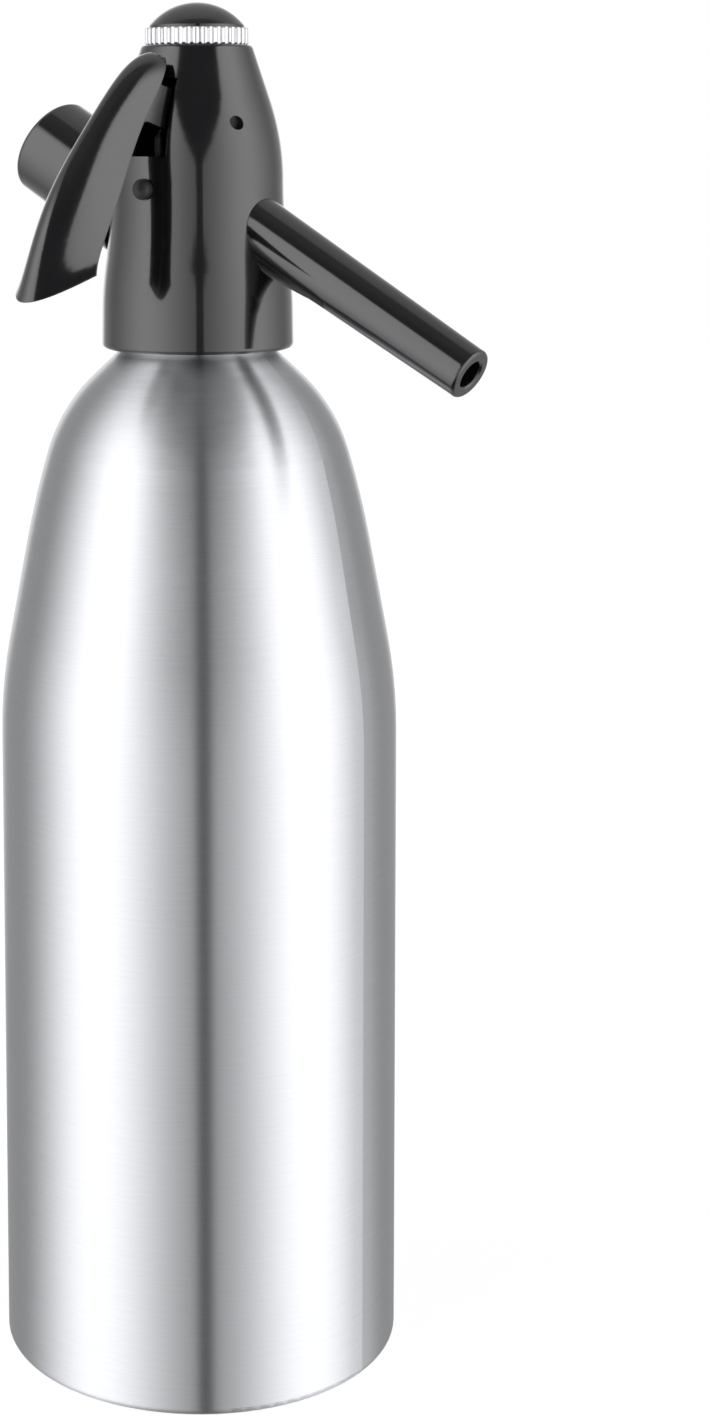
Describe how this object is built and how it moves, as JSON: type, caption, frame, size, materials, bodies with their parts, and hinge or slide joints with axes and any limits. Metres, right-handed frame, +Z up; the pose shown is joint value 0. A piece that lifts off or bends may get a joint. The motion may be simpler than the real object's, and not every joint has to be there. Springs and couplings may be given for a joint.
{
  "type": "soda siphon",
  "caption": "Aluminium soda siphon with a screwed plastic head, squeeze lever, slanted spout, capped gas port and knurled top ring.",
  "frame": {"origin": "centre of the bottle's base, on the plane that it stands on", "axes": "+Z up along the bottle's axis, +X towards the side that the nozzle points to, -Y towards the squeeze lever"},
  "size_m": [0.1242, 0.1067, 0.3127],
  "materials": {
    "bottle_aluminium": "brushed round the bottle",
    "black_plastic": "glossy moulded",
    "chrome_ring": "bright plated",
    "valve_brass": "turned",
    "steel": "bright drawn",
    "pale_plastic": "natural moulded",
    "dark_rubber": "matt"
  },
  "bodies": {
    "bottle": {"bottle": "bottle_aluminium"},
    "tube_set": {"riser_tube": "pale_plastic", "measuring_tube": "pale_plastic", "tube_collar": "pale_plastic"},
    "gasket": {"head_gasket": "dark_rubber"},
    "head": {"head_housing": "black_plastic", "valve_body": "valve_brass", "riser_oring": "dark_rubber", "stem_oring": "dark_rubber", "stem_guide": "pale_plastic", "valve_spring": "steel", "knurled_ring": "chrome_ring", "dome_cap": "black_plastic", "lever_pivot_pin": "steel", "lever_stop_button": "dark_rubber", "nozzle": "black_plastic", "gas_connector": "valve_brass", "piercing_pin": "steel", "charger_seal": "dark_rubber", "check_retainer": "valve_brass", "check_spring": "steel", "relief_spring": "steel", "relief_plug": "valve_brass"},
    "lever": {"lever": "black_plastic"},
    "valve_stem": {"valve_stem": "steel", "valve_seal": "dark_rubber", "stem_collar": "valve_brass"},
    "check_ball": {"check_ball": "steel"},
    "relief_poppet": {"relief_poppet": "dark_rubber"},
    "cap_washer": {"port_cap_washer": "dark_rubber"},
    "port_cap": {"port_cap": "black_plastic"}
  },
  "joints": [
    {"name": "tube_lift", "type": "slide", "parent": "bottle", "child": "tube_set", "axis": [0, 0, 1], "range_m": [0, 0.24]},
    {"name": "head_rise", "type": "slide", "parent": "tube_set", "child": "gasket", "axis": [0, 0, 1], "range_m": [0, 0.009]},
    {"name": "head_turn", "type": "hinge", "parent": "gasket", "child": "head", "pos_m": [0, 0, 0], "axis": [0, 0, 1], "range_deg": [0, 1080]},
    {"name": "lever_squeeze", "type": "hinge", "parent": "head", "child": "lever", "pos_m": [0, -0.0074, 0.2853], "axis": [1, 0, 0], "range_deg": [0, 20], "stiffness_Nm_per_rad": 1, "springref_deg": -17.19},
    {"name": "stem_lift", "type": "slide", "parent": "head", "child": "valve_stem", "axis": [0, 0, 1], "range_m": [0, 0.0026], "deforming": ["valve_spring"]},
    {"name": "check_ball_slide", "type": "slide", "parent": "head", "child": "check_ball", "axis": [0.8746, 0, -0.4848], "range_m": [0, 0.001], "stiffness_N_per_m": 50, "springref_m": -0.002, "deforming": ["check_spring"]},
    {"name": "relief_slide", "type": "slide", "parent": "head", "child": "relief_poppet", "axis": [0, 1, 0], "range_m": [0, 0.001], "stiffness_N_per_m": 200, "springref_m": -0.002, "deforming": ["relief_spring"]},
    {"name": "cap_draw", "type": "slide", "parent": "head", "child": "cap_washer", "axis": [-0.8746, 0, 0.4848], "range_m": [0, 0.01]},
    {"name": "cap_turn", "type": "hinge", "parent": "cap_washer", "child": "port_cap", "pos_m": [0, 0, 0.256], "axis": [-0.8746, 0, 0.4848], "range_deg": [0, 1800]}
  ],
  "couplings": [
    {"joint": "head_rise", "follows": "head_turn", "m_per_rad": 0.00047746},
    {"joint": "stem_lift", "follows": "lever_squeeze", "m_per_rad": 0.0072507},
    {"joint": "cap_draw", "follows": "cap_turn", "m_per_rad": 0.00031831}
  ]
}
